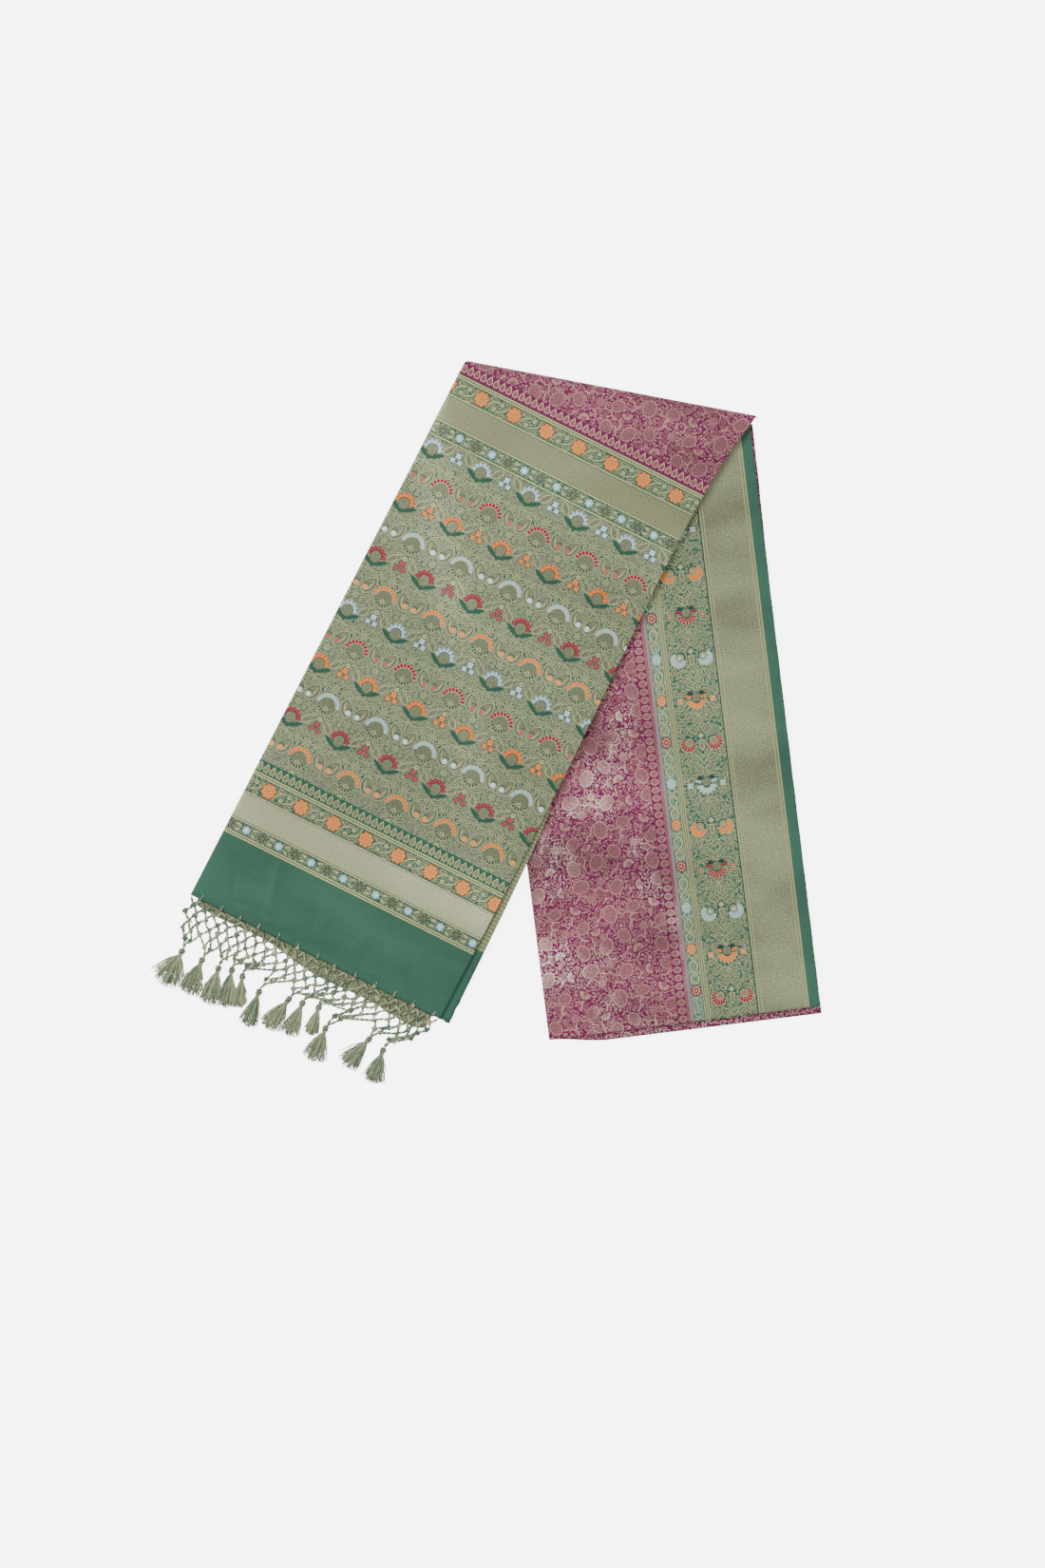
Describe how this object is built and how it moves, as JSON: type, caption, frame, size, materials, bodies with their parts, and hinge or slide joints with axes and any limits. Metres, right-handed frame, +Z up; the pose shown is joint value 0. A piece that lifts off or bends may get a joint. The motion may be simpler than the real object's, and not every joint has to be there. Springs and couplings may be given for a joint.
{
  "type": "banarasi saree",
  "caption": "Silk brocade saree folded into a long pad and doubled on a slanting fold, laid flat, with a knotted net fringe and tassels at the pallu's hem.",
  "frame": {"origin": "centre of the bounding box at the surface that the folded saree lies on", "axes": "+Z up out of the cloth's face, +Y from the tassels and the open ends towards the slanting fold, +X towards the body leg's selvage"},
  "size_m": [0.7132, 0.771, 0.0149],
  "materials": {
    "magenta_brocade": "magenta silk with a pale gold vine brocade, soft sheen",
    "magenta_silk": "plain magenta silk folds, soft sheen",
    "gold_brocade": "gold thread brocade on green silk, soft metallic sheen",
    "green_silk": "plain green silk, soft sheen",
    "fringe_cord": "twisted green and cream cord, matt with a little gold"
  },
  "bodies": {
    "root": {"body_layers": "magenta_silk", "body_stretch": "magenta_brocade", "body_under_stretch": "magenta_silk", "pallu_layers": "green_silk", "pallu_stretch": "gold_brocade", "pallu_under_stretch": "gold_brocade", "inner_end_stretch": "gold_brocade", "fringe_net": "fringe_cord", "tassel_01": "fringe_cord", "tassel_02": "fringe_cord", "tassel_03": "fringe_cord", "tassel_04": "fringe_cord", "tassel_05": "fringe_cord", "tassel_06": "fringe_cord", "tassel_07": "fringe_cord", "tassel_08": "fringe_cord", "tassel_09": "fringe_cord", "tassel_10": "fringe_cord", "tassel_11": "fringe_cord", "tassel_12": "fringe_cord"}
  },
  "joints": []
}
